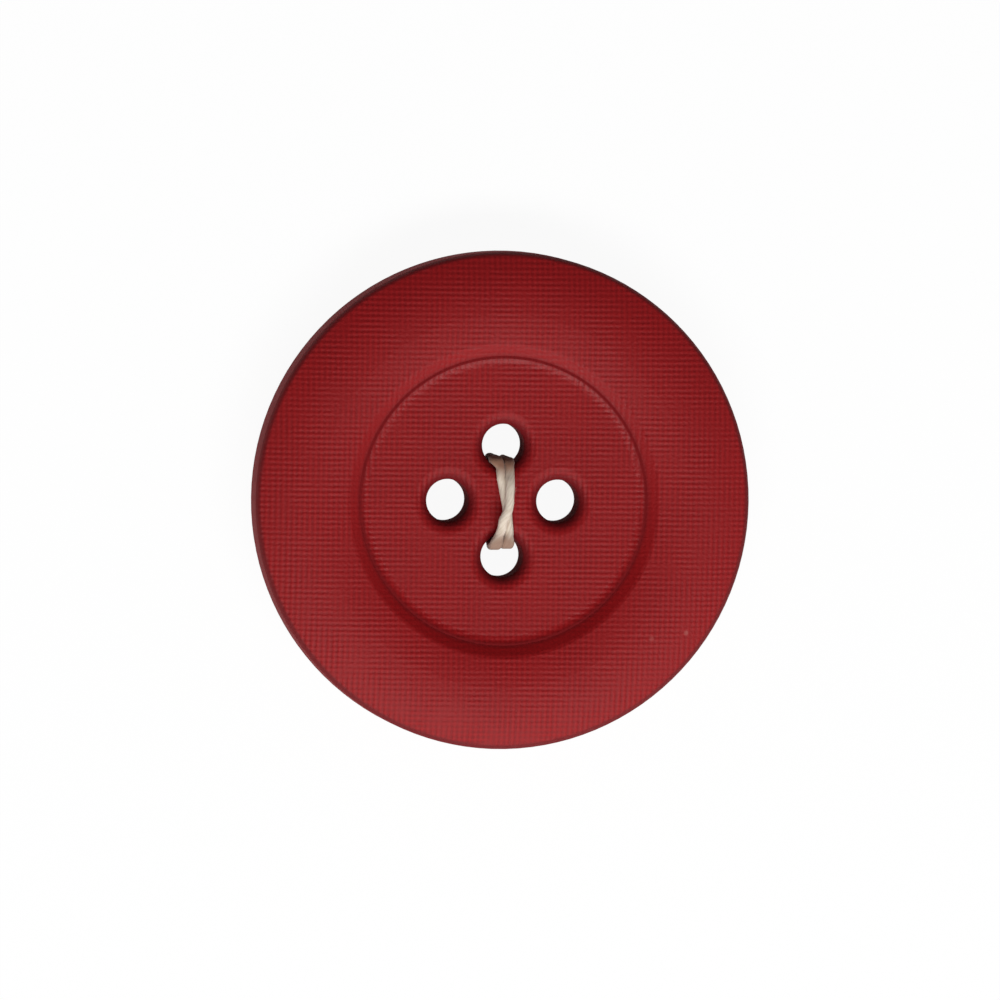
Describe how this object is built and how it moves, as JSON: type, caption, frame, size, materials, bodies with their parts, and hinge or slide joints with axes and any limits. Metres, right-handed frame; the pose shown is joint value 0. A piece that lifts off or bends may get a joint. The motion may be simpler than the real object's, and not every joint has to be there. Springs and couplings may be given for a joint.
{
  "type": "sew-through button",
  "caption": "Round red sew-through button with an arched rim, a sunk flat well and rounded sewing holes, holding one doubled stitch of beige thread.",
  "frame": {"origin": "centre of the flat ring on the back, on the surface that the button lies on", "axes": "+Z out of the front face, +Y along the stitch to its upper hole in the picture, +X to the right"},
  "size_m": [0.028, 0.028, 0.0049],
  "materials": {
    "button_plastic": "satin",
    "thread_cotton": "matte"
  },
  "bodies": {
    "root": {"button": "button_plastic", "thread": "thread_cotton"}
  },
  "joints": []
}
